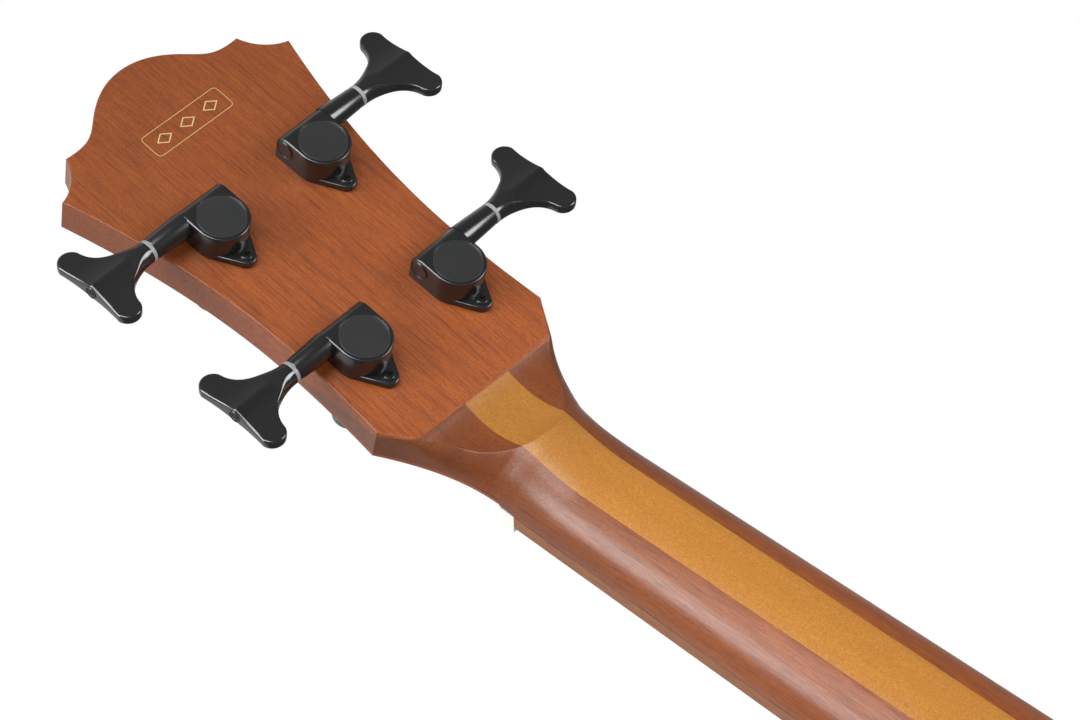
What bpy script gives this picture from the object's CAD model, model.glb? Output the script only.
# %% [markdown]
# # Acoustic bass guitar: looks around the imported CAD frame
#
# The CAD model has every piece of the guitar as a plain solid. This lesson gives the pieces that show their soft
# edges, screws, grain and gloss. Blender could do that by hand with modifiers, but here each surface is worked out
# with numpy, because its places then follow from the same sizes as the CAD's, and each run gives the same mesh.
#
# Lengths are millimetres in the CAD frame: +Z up the neck to the headstock, -Y out of the soundboard, -X the bass
# side, origin at the nut. Meshes are scaled to metres when they are made. The headstock has its own coordinates
# (x across, t out of its back, s along it), tilted by 12.85 degrees.

import math

import bmesh
import bpy
import numpy as np
from mathutils import Matrix, Vector
from mathutils.geometry import delaunay_2d_cdt


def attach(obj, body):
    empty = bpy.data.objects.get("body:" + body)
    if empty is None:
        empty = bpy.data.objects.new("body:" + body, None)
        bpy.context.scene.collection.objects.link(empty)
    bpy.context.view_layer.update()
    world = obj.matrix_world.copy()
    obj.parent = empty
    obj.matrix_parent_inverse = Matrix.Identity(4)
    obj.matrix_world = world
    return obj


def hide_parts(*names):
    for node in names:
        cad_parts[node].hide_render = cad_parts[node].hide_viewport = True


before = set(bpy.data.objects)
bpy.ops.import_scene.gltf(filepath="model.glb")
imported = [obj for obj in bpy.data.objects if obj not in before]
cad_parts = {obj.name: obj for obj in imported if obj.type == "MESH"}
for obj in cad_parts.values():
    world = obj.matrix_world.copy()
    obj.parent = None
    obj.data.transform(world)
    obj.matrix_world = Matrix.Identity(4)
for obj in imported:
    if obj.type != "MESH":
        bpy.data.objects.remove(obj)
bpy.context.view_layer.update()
MM = 0.001
TILT = math.radians(12.85)
COS, SIN = math.cos(TILT), math.sin(TILT)
ROOT = "instrument"

# %% [markdown]
# ## Shapes as arrays
#
# A shape is a pair: an array of points in millimetres and a list of faces. Most shapes are grids: rows of points
# joined by quads, which suits a neck or a knob whose form changes smoothly along two directions. Such a pair can be
# moved, turned and joined to others before Blender sees it.


# %% Shapes as arrays
def head(points):
    """Headstock points (x, t, s) in the frame: y is s sin T + t cos T and z is s cos T - t sin T."""
    x, t, s = np.moveaxis(np.asarray(points, float), -1, 0)
    return np.stack([x, s * SIN + t * COS, s * COS - t * SIN], -1)


def grid(rows, closed=False):
    """Quads over an array of rows of points, and round each row if it is closed."""
    rows = np.asarray(rows, float)
    count, across = rows.shape[:2]
    index = np.arange(count * across).reshape(count, across)
    here = index if closed else index[:, :-1]
    beside = np.roll(index, -1, 1) if closed else index[:, 1:]
    quads = np.stack([here[:-1], beside[:-1], beside[1:], here[1:]], -1)
    return rows.reshape(-1, 3), quads.reshape(-1, 4).tolist()


def merged(*shapes):
    """Several shapes in one."""
    points, faces, start = [], [], 0
    for shape_points, shape_faces in shapes:
        points.append(np.asarray(shape_points, float))
        faces += [[i + start for i in face] for face in shape_faces]
        start += len(shape_points)
    return np.concatenate(points), faces


def moved(shape, offset):
    """A shape moved by an offset: the offset is added to every point."""
    return shape[0] + np.asarray(offset, float), shape[1]


def faced(shape, towards=None, away_from=None):
    """The shape with its faces turned round if on the whole they point against a direction, or to a middle."""
    points, faces = shape
    a, b, c = np.moveaxis(points[[face[:3] for face in faces]], 1, 0)
    wanted = np.asarray(towards, float) if away_from is None else a - away_from
    return (points, [face[::-1] for face in faces]) if np.sum(np.cross(b - a, c - a) * wanted) < 0 else shape


def with_ends(shape, sides):
    """A grid of closed rows with a flat face on its first and on its last row."""
    points, faces = shape
    return points, faces + [list(range(sides)), list(range(len(points) - sides, len(points)))]


AXES = {"x": [0, 1, 2], "y": [1, 0, 2], "z": [1, 2, 0]}  # where along, cosine and sine go in x, y, z


def lathe(profile, axis="x", sides=48):
    """A profile of (along, radius) turned about an axis: across it the points are radius times cosine and sine."""
    along, radius = np.asarray(profile, float).T
    turn = np.linspace(0, 2 * np.pi, sides, endpoint=False)
    rows = [np.repeat(along[:, None], sides, 1), np.outer(radius, np.cos(turn)), np.outer(radius, np.sin(turn))]
    return grid(np.stack(rows, -1)[..., AXES[axis]], closed=True)


print("headstock's place 100 mm along:", head([0, 0, 100]).round(2))

# %% [markdown]
# ## Lines and outlines
#
# Plates, housings and buttons start as outlines. These helpers round a line's corners, space its points evenly, draw
# the CAD's own cubic legs, mirror half an outline and move one inwards, which makes bands and rounded edges.


# %% Lines and outlines
def eased(points, ease, steps=4, closed=False):
    """A line with its corners replaced by quadratic curves that start the ease's length before each corner."""
    points = np.asarray(points, float)
    ease = np.broadcast_to(np.asarray(ease, float), (len(points),))
    out = []
    for i, p in enumerate(points):
        if not closed and i in (0, len(points) - 1) or ease[i] <= 0:
            out.append(p)
            continue
        before, after = points[i - 1], points[(i + 1) % len(points)]
        b, a = np.linalg.norm(before - p), np.linalg.norm(after - p)
        start = p + (before - p) * min(ease[i], 0.45 * b) / b
        end = p + (after - p) * min(ease[i], 0.45 * a) / a
        for u in np.linspace(0, 1, steps + 1):
            out.append((1 - u) ** 2 * start + 2 * u * (1 - u) * p + u * u * end)
    return np.array(out)


def resampled(points, count, closed=False, first=None):
    """Points spaced evenly along a line by its length, after a first step if one is given."""
    points = np.asarray(points, float)
    if closed:
        points = np.vstack([points, points[:1]])
    length = np.concatenate([[0], np.cumsum(np.linalg.norm(np.diff(points, axis=0), axis=1))])
    want = np.linspace(0, length[-1], count + 1)[:-1] if closed else np.linspace(0, length[-1], count)
    if first:
        want = np.concatenate([[0], np.linspace(first, length[-1], count - 1)])
    return np.stack([np.interp(want, length, column) for column in points.T], -1)


def cubic(start, legs, steps=24):
    """Cubic legs (end, shares of the leg's box for its two control points), as the CAD outlines are given."""
    start = np.asarray(start, float)
    out = [start]
    for end, shares in legs:
        end = np.asarray(end, float)
        first = start + np.array(shares[:2]) * (end - start)
        second = start + np.array(shares[2:]) * (end - start)
        u = np.linspace(0, 1, steps + 1)[1:, None]
        curve = (1 - u) ** 3 * start + 3 * u * (1 - u) ** 2 * first
        out.extend(curve + 3 * u**2 * (1 - u) * second + u**3 * end)
        start = end
    return np.array(out)


print("a leg of 24 steps:", len(cubic((0, 0), [((1, 1), (0.3, 0, 0.7, 1))])), "points")


# %% Mirrored and inset outlines
def mirrored(line):
    """A half outline with x positive joined to its mirror image into one closed outline."""
    line = np.asarray(line, float)
    other = (line * [-1, 1])[::-1]
    return np.vstack([line, other[1:] if abs(line[-1, 0]) < 1e-9 else other])


def inset(outline, distance):
    """A closed outline moved inwards along the mean normals of its edges."""
    p = np.asarray(outline, float)
    edge = np.roll(p, -1, 0) - p
    area = np.sum(p[:, 0] * np.roll(p[:, 1], -1) - np.roll(p[:, 0], -1) * p[:, 1])
    normal = np.stack([-edge[:, 1], edge[:, 0]], -1) * np.sign(area)
    normal /= np.linalg.norm(normal, axis=1, keepdims=True) + 1e-12
    mean = normal + np.roll(normal, 1, 0)
    share = 2 / np.maximum(np.sum(mean**2, axis=1, keepdims=True), 0.5)
    return p + mean * share * distance


def circle(radius, count=72, centre=(0, 0)):
    """Points evenly round a circle."""
    turn = np.linspace(0, 2 * np.pi, count, endpoint=False)
    return np.stack([centre[0] + radius * np.cos(turn), centre[1] + radius * np.sin(turn)], -1)


print("circle of 10 mm moved in by 2:", inset(circle(10), 2)[0].round(3))

# %% [markdown]
# ## Plates and objects
#
# A plate is its outline repeated at a few heights, a little further in near the face, so that the edge is rounded
# in the mesh itself and catches light like a real one. A Bevel modifier would do nearly the same, but it needs clean
# corners. `make` turns a shape into an object that rides on its body and takes the place of a CAD node.


# %% Plates
def on_level(ring, y):
    """A closed line in x and z as points at a height y."""
    return np.stack([ring[:, 0], np.broadcast_to(np.asarray(y, float), len(ring)), ring[:, 1]], -1)


def slab(outline, levels, caps=(True, True)):
    """A plate whose outline lies in x and z, with (y, inset) levels for its walls and a flat face at each end."""
    rings = [on_level(inset(outline, distance), y) for y, distance in levels]
    shapes = [grid(rings, closed=True)]
    for cap, ring in zip(caps, (rings[0], rings[-1])):
        if cap:
            shapes.append((ring, [list(range(len(ring)))]))
    return merged(*shapes)


print("a plate of 4 corners on 2 levels:", len(slab(circle(1, 4), [(0, 0), (1, 0)])[1]), "faces")


# %% Objects
def mesh_of(name, shape, scale=MM, weld=0.0):
    """A mesh and its editable copy from a shape, with points closer than the weld (in mm) made one."""
    mesh = bpy.data.meshes.new(name)
    mesh.from_pydata([tuple(p) for p in np.asarray(shape[0]) * scale], [], shape[1])
    work = bmesh.new()
    work.from_mesh(mesh)
    if weld:
        bmesh.ops.remove_doubles(work, verts=work.verts, dist=weld * scale)
    return mesh, work


def welded(shape, distance=0.002):
    """The shape with points that coincide made one, so that it shades smoothly over the seam."""
    mesh, work = mesh_of("weld", shape, 1.0, distance)
    bpy.data.meshes.remove(mesh)
    work.verts.index_update()
    points = np.array([tuple(v.co) for v in work.verts])
    faces = [[v.index for v in face.verts] for face in work.faces]
    work.free()
    return points, faces


def tilted(shape):
    """A slab drawn in headstock coordinates (x, t, s), placed in the frame."""
    return head(shape[0]), shape[1]


def finished(mesh, work, material, body, replaces, angle):
    work.to_mesh(mesh)
    work.free()
    mesh.shade_smooth()
    mesh.set_sharp_from_angle(angle=math.radians(angle))
    mesh.materials.append(material)
    thing = bpy.data.objects.new(mesh.name, mesh)
    bpy.context.scene.collection.objects.link(thing)
    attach(thing, body)
    if replaces:
        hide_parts(*replaces)
    return thing


def make(name, shape, material, body=ROOT, replaces=(), weld=0.0, closed=True, angle=38):
    """A mesh object from a shape: welded if asked, and a closed shape with its faces turned outwards."""
    mesh, work = mesh_of(name, shape, MM, weld)
    if weld:
        bmesh.ops.dissolve_degenerate(work, edges=work.edges, dist=1e-7)
    if closed:
        bmesh.ops.recalc_face_normals(work, faces=work.faces)
    return finished(mesh, work, material, body, replaces, angle)


# %% [markdown]
# ## Shader helpers
#
# Every material is a small node tree on object coordinates, which stay with the piece when it moves. Image textures
# would need unwrapping; noise needs none and is as fine as the camera asks for. These helpers add a node, set or
# link its inputs, and give back its output.


# %% Shader helpers
def link_or_set(tree, socket, value):
    """A socket linked to another, or set to a value."""
    if isinstance(value, bpy.types.NodeSocket):
        tree.links.new(value, socket)
    else:
        socket.default_value = value


def add(tree, kind, inputs=None, **settings):
    """A shader node with its settings, its inputs set to a value or linked to a socket."""
    node = tree.nodes.new(kind)
    for key, value in settings.items():
        setattr(node, key, value)
    for key, value in (inputs or {}).items():
        link_or_set(tree, node.inputs[key], value)
    return node


def ramp(tree, factor, stops):
    """A colour ramp with (position, grey or colour) stops."""
    node = add(tree, "ShaderNodeValToRGB", {"Fac": factor})
    elements = node.color_ramp.elements
    while len(elements) < len(stops):
        elements.new(0.5)
    for element, (position, value) in zip(elements, stops):
        element.position = position
        element.color = (*value, 1) if isinstance(value, tuple) else (value, value, value, 1)
    return node.outputs["Color"]


def mix(tree, factor, a, b):
    """Two colours mixed, each a value or a socket."""
    node = add(tree, "ShaderNodeMix", data_type="RGBA")
    for socket, value in ((node.inputs[0], factor), (node.inputs[6], a), (node.inputs[7], b)):
        link_or_set(tree, socket, (*value, 1) if isinstance(value, tuple) else value)
    return node.outputs[2]


def noise(tree, vector, scale, detail=2.0, rough=0.5, distortion=0.0):
    """Smooth noise between 0 and 1."""
    inputs = {"Vector": vector, "Scale": scale, "Detail": detail, "Roughness": rough, "Distortion": distortion}
    return add(tree, "ShaderNodeTexNoise", inputs).outputs[0]


def math_node(tree, operation, a, b):
    """The sum, product or greater of two values."""
    return add(tree, "ShaderNodeMath", {0: a, 1: b}, operation=operation).outputs[0]


def faded(tree, value, span, **settings):
    """A value mapped from one range to another, the four limits given in order."""
    limits = dict(zip(("From Min", "From Max", "To Min", "To Max"), span))
    return add(tree, "ShaderNodeMapRange", {"Value": value, **limits}, **settings).outputs["Result"]


# %% Materials and bumps
def material(name):
    """A new material, its node tree and its shader."""
    made = bpy.data.materials.new(name)
    made.use_nodes = True
    return made, made.node_tree, made.node_tree.nodes["Principled BSDF"]


def setup(shader, **values):
    """Constants on the shader's own sockets, named with spaces left out."""
    for key, value in values.items():
        socket = next(s for s in shader.inputs if s.name.replace(" ", "") == key)
        socket.default_value = (*value, 1) if isinstance(value, tuple) else value


def bump(tree, shader, height, strength, distance):
    """A bump of a given depth in metres on the shader's normal."""
    node = add(tree, "ShaderNodeBump", {"Height": height, "Strength": strength, "Distance": distance})
    tree.links.new(node.outputs["Normal"], shader.inputs["Normal"])


# %% [markdown]
# ## Wood
#
# The neck is mahogany with a maple strip, the top spruce, bridge and headstock front rosewood. All have the same
# make-up: slow bands of tone, fibres, long thin pores and a fine mottle, drawn by noise that is stretched along the
# grain. So one node group draws them all, and each wood puts in its own colours and strengths. The pores also press
# into the surface and dull it, under a thin satin coat.


# %% Wood
POROUS_DULLER, SATIN = 0.12, 0.38


def make_wood_group():
    """Vector in metres with the grain along Z; light, dark and pore colours and three strengths go in."""
    group = bpy.data.node_groups.new("wood_grain", "ShaderNodeTree")
    sockets = [("Vector", "INPUT", "Vector")]
    sockets += [(name, "INPUT", "Color") for name in ("Light", "Dark", "Pore")]
    sockets += [(name, "INPUT", "Float") for name in ("Bands", "Pores", "Fleck")]
    sockets += [("Color", "OUTPUT", "Color"), ("Height", "OUTPUT", "Float"), ("Roughness", "OUTPUT", "Float")]
    for name, way, kind in sockets:
        group.interface.new_socket(name, in_out=way, socket_type="NodeSocket" + kind)
    enter = group.nodes.new("NodeGroupInput").outputs
    leave = group.nodes.new("NodeGroupOutput").inputs

    def marks(across, along, detail, rough, first, last, distortion=0.0):
        """Noise with so many cells a metre across and along the grain, stretched to 0 to 1 between two values."""
        place = add(group, "ShaderNodeMapping", {"Vector": enter["Vector"], "Scale": (across, across, along)})
        value = noise(group, place.outputs[0], 1.0, detail, rough, distortion)
        return ramp(group, value, [(first, 0.0), (last, 1.0)])

    def times(value, factor):
        """The product of a value and a factor."""
        return math_node(group, "MULTIPLY", value, factor)

    bands = marks(95, 5, 3.0, 0.55, 0.3, 0.7, 0.4)
    fibres = marks(1500, 60, 2.0, 0.6, 0.3, 0.72)
    long_pores = marks(5600, 80, 1.0, 0.5, 0.5, 0.66)
    short_pores = marks(5600, 420, 1.0, 0.5, 0.5, 0.72)
    mottle = marks(2300, 1300, 3.0, 0.8, 0.4, 0.6)

    tone = math_node(group, "ADD", times(bands, enter["Bands"]), times(fibres, 0.3))
    colour = mix(group, tone, enter["Light"], enter["Dark"])
    colour = mix(group, times(mottle, enter["Fleck"]), colour, enter["Dark"])
    pores = math_node(group, "MAXIMUM", long_pores, times(short_pores, 0.6))
    amount = times(pores, enter["Pores"])
    group.links.new(mix(group, amount, colour, enter["Pore"]), leave["Color"])
    group.links.new(times(math_node(group, "ADD", times(fibres, 0.25), amount), -1.0), leave["Height"])
    group.links.new(math_node(group, "ADD", times(pores, POROUS_DULLER), SATIN), leave["Roughness"])
    return group


WOOD = make_wood_group()
print("wood:", len(WOOD.nodes), "nodes in the shared group")

# %% [markdown]
# ## The woods
#
# Each wood puts its colours and strengths into the group. The headstock gets darker toward its tip, as in the
# photograph, and its grain is turned with it. The coat is thin, because the finish is satin.


# %% Woods
def wood(name, light, dark, pore, bands=0.6, pores=0.6, fleck=0.2, turn=(0, 0, 0), coat=0.25, tone=None):
    """A satin wood. The turn brings the grain's direction to Z, and a tone (from, to, first, last) fades along Z."""
    made, tree, shader = material(name)
    place = add(tree, "ShaderNodeTexCoord").outputs["Object"]
    turned = add(tree, "ShaderNodeMapping", {"Vector": place, "Rotation": turn}).outputs[0]
    colours = {"Light": (*light, 1), "Dark": (*dark, 1), "Pore": (*pore, 1)}
    inputs = {"Vector": turned, **colours, "Bands": bands, "Pores": pores, "Fleck": fleck}
    group = tree.nodes.new("ShaderNodeGroup")
    group.node_tree = WOOD
    for key, value in inputs.items():
        link_or_set(tree, group.inputs[key], value)
    colour = group.outputs["Color"]
    if tone:
        share = faded(tree, add(tree, "ShaderNodeSeparateXYZ", {0: place}).outputs["Z"], tone)
        colour = add(tree, "ShaderNodeVectorMath", {0: colour, 3: share}, operation="SCALE").outputs[0]
    tree.links.new(colour, shader.inputs["Base Color"])
    tree.links.new(group.outputs["Roughness"], shader.inputs["Roughness"])
    bump(tree, shader, group.outputs["Height"], 0.35, 0.00006)
    setup(shader, CoatWeight=coat, CoatRoughness=0.28, SpecularIORLevel=0.3)
    return made


MAHOGANY = ((0.36, 0.1, 0.023), (0.21, 0.048, 0.01), (0.1, 0.02, 0.009))
MAHOGANY_NECK = ((0.27, 0.073, 0.014), (0.13, 0.03, 0.006), (0.06, 0.014, 0.006))
MAPLE = ((0.46, 0.21, 0.036), (0.3, 0.11, 0.016), (0.24, 0.08, 0.012))
DARKER_TIP, DARKER_NECK, DARKER_STRIP = (0.05, 0.2, 1.05, 0.72), (-0.1, 0, 1.3, 0.9), (-0.03, 0.02, 1.0, 0.84)
mahogany_head = wood(
    "mahogany_headstock", *MAHOGANY, bands=0.25, pores=0.8, fleck=0.7, turn=(TILT, 0, 0), tone=DARKER_TIP
)
mahogany_neck = wood("mahogany_neck", *MAHOGANY_NECK, pores=0.7, fleck=0.5, coat=0.45, tone=DARKER_NECK)
mahogany_body = wood("mahogany_body", *MAHOGANY, bands=0.8, pores=0.6)
mahogany_inner = wood("mahogany_inner", (0.5, 0.24, 0.12), (0.35, 0.15, 0.07), (0.15, 0.06, 0.03), coat=0.0)
maple = wood("maple_strip", *MAPLE, bands=0.3, pores=0.12, fleck=0.9, tone=DARKER_STRIP)
spruce = wood("spruce_top", (0.78, 0.56, 0.3), (0.62, 0.4, 0.19), (0.5, 0.3, 0.14), bands=0.5, pores=0.25, fleck=0.1)
spruce_inner = wood("spruce_inner", (0.78, 0.62, 0.4), (0.66, 0.48, 0.27), (0.5, 0.34, 0.18), pores=0.2, coat=0.0)
rosewood = wood("rosewood", (0.11, 0.052, 0.032), (0.045, 0.02, 0.013), (0.015, 0.007, 0.005), pores=0.8, coat=0.05)
maple_inner = wood("maple_inner", (0.72, 0.55, 0.34), (0.62, 0.44, 0.25), (0.5, 0.34, 0.18), pores=0.1, coat=0.0)
brown_board = wood("fretboard_wood", (0.32, 0.125, 0.05), (0.19, 0.066, 0.024), (0.07, 0.026, 0.014), coat=0.1)
print("woods:", len([m for m in bpy.data.materials if m.node_tree and "Group" in m.node_tree.nodes]))

# %% [markdown]
# ## Metal, plastic and bone
#
# The tuners are black metal, the nut bone, the frets nickel silver. None is perfectly even: the roughness wanders a
# little and a very fine bump breaks up the highlight, so that a housing doesn't look like a drawing. A plain number
# for the roughness would be simpler and look like plastic.


# %% Metal, plastic and bone
def plain(name, colour, roughness, grain=900.0, depth=0.00002, strength=0.2, spread=0.12, **settings):
    """A plain finish with a fine bump and a slight spread of its roughness; settings go to the shader."""
    made, tree, shader = material(name)
    place = add(tree, "ShaderNodeTexCoord").outputs["Object"]
    fine, slow = noise(tree, place, grain), noise(tree, place, grain / 25)
    rough = math_node(tree, "ADD", math_node(tree, "MULTIPLY", slow, spread), roughness - spread / 2)
    tree.links.new(rough, shader.inputs["Roughness"])
    base = mix(tree, slow, tuple(0.93 * c for c in colour), tuple(min(1.07 * c, 1.0) for c in colour))
    tree.links.new(base, shader.inputs["Base Color"])
    bump(tree, shader, fine, strength, depth)
    setup(shader, **{"Metallic": 0.0, "CoatWeight": 0.0, "CoatRoughness": 0.2, "SpecularIORLevel": 0.5, **settings})
    return made


black_metal = plain("black_metal", (0.006, 0.006, 0.006), 0.24, SpecularIORLevel=1.0)
black_gloss = plain("black_button", (0.009, 0.009, 0.009), 0.18, SpecularIORLevel=1.0)
black_cap = plain("black_cap", (0.016, 0.0165, 0.017), 0.42, grain=2500.0, depth=0.00004, strength=0.5)
black_screw = plain("black_screw", (0.03, 0.03, 0.031), 0.25, Metallic=0.7)
wound_bronze = plain("wound_bronze", (0.5, 0.3, 0.13), 0.32, grain=2600.0, depth=0.0001, strength=0.6, Metallic=1.0)
washer_grey = plain("washer_grey", (0.24, 0.24, 0.245), 0.4)
bone = plain("bone", (0.78, 0.77, 0.72), 0.38, grain=300.0)
steel = plain("steel", (0.55, 0.56, 0.57), 0.3, Metallic=1.0)
nickel = plain("nickel_silver", (0.7, 0.69, 0.66), 0.22, Metallic=1.0)
black_plastic = plain("black_plastic", (0.02, 0.02, 0.021), 0.4)
gold_line = plain("gold_line", (0.62, 0.47, 0.2), 0.4, Metallic=0.3)
ivory = plain("binding_ivory", (0.8, 0.74, 0.6), 0.35)
black_line = plain("purfling_black", (0.015, 0.015, 0.015), 0.4)
pearl = plain("pearl", (0.8, 0.82, 0.8), 0.25, CoatWeight=0.4)
print("black metal:", len(black_metal.node_tree.nodes), "nodes")

# %% [markdown]
# ## Headstock outline
#
# The headstock is a board with a scalloped outline, narrow at the nut, with a shoulder on each side, and a round
# crown between two small horns. Half of it is drawn with six cubic legs, the same as the CAD's, and mirrored.

# %% Headstock outline
HEAD_T, VENEER, OVERLAP = 14.0, 1.6, 0.3  # the wood's and the veneer's depth, and how far the two overlap
NUT_END = 6.3  # where the nut's far face stands, and the veneer starts
HOLE_R = 6.5
# side, how far across and how far along the headstock
TUNERS = {"e": (-1, 21.8, 69.5), "a": (-1, 23.2, 132.4), "d": (1, 23.2, 132.4), "g": (1, 21.8, 69.5)}
SHOULDER_X, SHOULDER_S = 38.7, 46
HEAD_LEGS = [
    ((SHOULDER_X, SHOULDER_S), (0, 0.35, 0.41, 0.67)),
    ((36.9, 84), (0.6, 0.32, 1, 0.63)),
    ((51.8, 175.8), (0, 0.37, 0.48, 0.72)),
    ((38.9, 188), (0.33, 0.08, 0.8, 0.39)),
    ((20, 195.2), (0.58, -0.11, 0.68, 0.28)),
    ((0, 203.4), (0.33, 0.68, 0.65, 1)),
]
head_half = cubic((21.5, 0), HEAD_LEGS)
shoulder_at = int(np.argmin(np.abs(head_half - [SHOULDER_X, SHOULDER_S]).sum(1)))
beyond = head_half[shoulder_at:]
print("headstock outline:", len(head_half), "points a side,", head_half[-1, 1], "mm long")

# %% [markdown]
# ## The hollow and the crest
#
# Behind the nut the headstock's back is scooped out by a drum sander, so its section is part of a circle. Where the
# neck's round back meets this hollow there is a raised crest, which runs out along the edges up to the shoulders.
# A boolean would give a hard edge there. Instead the neck's sections are chosen so that they pass through the crest,
# and later rows start on it.


# %% The hollow and the crest
def curve(marks, at):
    """A smooth monotone cubic through marks (place, value), its slope the harmonic mean of its neighbours'."""
    x, y = np.array(marks, float).T
    at = np.asarray(at, float)
    step = np.diff(x)
    slope = np.diff(y) / step
    inner = np.where(slope[1:] * slope[:-1] > 0, 2 * slope[1:] * slope[:-1] / (slope[1:] + slope[:-1] + 1e-12), 0)
    tangent = np.concatenate([[slope[0]], inner, [slope[-1]]])
    k = np.clip(np.searchsorted(x, at) - 1, 0, len(x) - 2)
    u = (at - x[k]) / step[k]
    h00, h10 = (1 + 2 * u) * (1 - u) ** 2, u * (1 - u) ** 2
    h01, h11 = u**2 * (3 - 2 * u), u**2 * (u - 1)
    return h00 * y[k] + h10 * step[k] * tangent[k] + h01 * y[k + 1] + h11 * step[k] * tangent[k + 1]


DRUM_R, DRUM_AT, DRUM_END = 25.4, (26, 37.7), 35.2


def hollow(s):
    """Depth t of the headstock's back: t is the drum's middle less its circle's height, then the flat board."""
    round_part = DRUM_AT[1] - np.sqrt(np.maximum(DRUM_R**2 - (s - DRUM_AT[0]) ** 2, 0))
    return np.where(s < DRUM_END, np.minimum(round_part, 24), HEAD_T)


def half_width(s):
    """Half the width of the headstock at a place before the shoulder."""
    return np.interp(s, head_half[: shoulder_at + 1, 1], head_half[: shoulder_at + 1, 0])


# (place along, depth) of the sections past the nut, and (x, s) on the crest as the photograph shows it
THROAT = [(2, 19.1), (4.5, 19.45), (6.5, 19.57), (8.2, 19.58)]
THROAT += [(10, 19.5), (13, 19.1), (15, 18.6), (18.4, 17.4), (22, 15.8), (25, 14.7), (28, 13.9), (31, 13.6)]
THROAT += [(35, 14.2), (40.2, 14.2), (46, 14.3)]
CREST = [(5.6, 8.9), (9.1, 10.25), (13.4, 12.93), (15.6, 14.95), (18.6, 18.4), (20.7, 22), (22.4, 25)]
CREST += [(24.1, 28), (26, 31), (29.3, 35)]


def exponent_through(x, s):
    """The n of the section that passes through the hollow at x, by halving: t grows with n."""
    low, high = 1.2, 60.0
    for _ in range(60):
        n = (low + high) / 2
        t = curve(THROAT, s) * (1 - (x / half_width(s)) ** n) ** (1 / n)
        low, high = (n, high) if t < hollow(s) else (low, n)
    return float(low)


EXPONENTS = [(-22, 2.2), (0, 2.12), (6, 2.04)]
EXPONENTS += [(s, exponent_through(x, s)) for x, s in CREST] + [(40.2, 28), (SHOULDER_S, 40)]
print("exponents along the crest:", [round(n, 2) for _, n in EXPONENTS])


def crest_at(s):
    """Where the sections meet the hollow: x is W (1 - (t / D)^n)^(1 / n)."""
    n = curve(EXPONENTS, s)
    return half_width(s) * np.maximum(1 - (hollow(s) / curve(THROAT, s)) ** n, 0) ** (1 / n)


# %% [markdown]
# ## Where the neck's sections stand
#
# The neck's back is a run of half superellipses (x / W)^n + (t / D)^n = 1. With n = 2 the section is an ellipse, and
# a larger n makes it squarer, as at the headstock. Along the neck the planes of the sections are square to it; in
# the bend they turn step by step until they are square to the headstock, and their depths follow one smooth profile.
# At the other end the heel swells like a quarter of an ellipse.

# %% The bend
NUT_WIDTH, BOARD_WIDER, BOARD_LENGTH = 43, 19, 591.7
SOFT, EDGE_R = 0.3, 0.5  # the first step from the crest, and the headstock's rounded edge
BEND_FROM, CREST_FOOT, BEND_REACH = -22.0, 8.2, 7.9


def neck_half(z):
    """Half the width of the neck and the fretboard, which grow evenly from the nut to the board's end."""
    return (NUT_WIDTH + BOARD_WIDER * -z / BOARD_LENGTH) / 2


def bend_lift(place):
    """How far the bend's path lies inside the corner between the neck's and the headstock's front: a parabola."""
    return np.maximum(BEND_REACH - np.abs(place), 0) ** 2 * math.tan(TILT / 2) / (2 * BEND_REACH)


def bend_path(place):
    """The place (y, z) of a section: along the neck before the corner, along the headstock after it."""
    lift = float(bend_lift(place))
    if place < 0:
        return lift, float(place)
    return float(place * SIN + lift * COS), float(place * COS - lift * SIN)


def depth_to_profile(y0, z0, lean):
    """The depth at which a section's middle meets the back's profile, by halving."""
    low, high = 10.0, 30.0
    for _ in range(40):
        depth = (low + high) / 2
        below = y0 + depth * math.cos(lean) < curve(PROFILE, z0 - depth * math.sin(lean))
        low, high = (depth, high) if below else (low, depth)
    return low


# (z, y) of the neck's back through the bend
PROFILE = [(-40, 15.9), (-22, 15.82), (-17, 16.02), (-12.8, 16.5), (-8.4, 17.35), (-4.2, 18.5), (-2.0, 19.2)]
for place in (4.5, 6.5, 8.2, 10):
    depth = float(curve(THROAT, place))
    PROFILE.append((place * COS - depth * SIN, place * SIN + depth * COS))
print("the bend lies inside the corner by", round(float(bend_lift(0)), 2), "mm")

# %% Stations from the heel to the shoulder
NECK_DEPTH, NECK_DEEPER, NECK_END = 15.8, 2.7, -489.94
HEEL_FULL, HEEL_LENGTH, HEEL_DEPTH, HEEL_SECTIONS = -467.94, 58, 74, 60
stations = []  # y, z, lean, half width, depth, exponent, and the x at which the section starts
for z in [*np.linspace(NECK_END - 0.26, -400, HEEL_SECTIONS), *np.linspace(-396, -24, 60)]:
    heel = min(max(1 - (z - HEEL_FULL) / HEEL_LENGTH, 0), 1)
    depth = NECK_DEPTH + NECK_DEEPER * (z - BEND_FROM) / (NECK_END - BEND_FROM)
    depth = depth + (HEEL_DEPTH - depth) * (1 - math.sqrt(max(1 - heel**2, 0)))
    stations.append((0.0, z, 0.0, neck_half(z), depth, 2.2 - 0.45 * heel, 0.0))
for place in [*np.linspace(BEND_FROM, CREST_FOOT - SOFT, 48), CREST_FOOT]:
    y0, z0 = bend_path(place)
    u = min((place - BEND_FROM) / (CREST_FOOT - SOFT - BEND_FROM), 1)
    lean = TILT * u * u * (3 - 2 * u)
    width = neck_half(place) if place < 0 else float(half_width(place))
    depth = depth_to_profile(y0, z0, lean)
    stations.append((y0, z0, lean, width, depth, float(curve(EXPONENTS, place)), 0.0))
first_crest = len(stations)
fine_s = np.linspace(CREST_FOOT, SHOULDER_S, 6000)
fine_x = np.concatenate([np.linspace(0.15, 10, 26), np.linspace(10.4, float(half_width(SHOULDER_S)) - EDGE_R, 70)])
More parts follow.
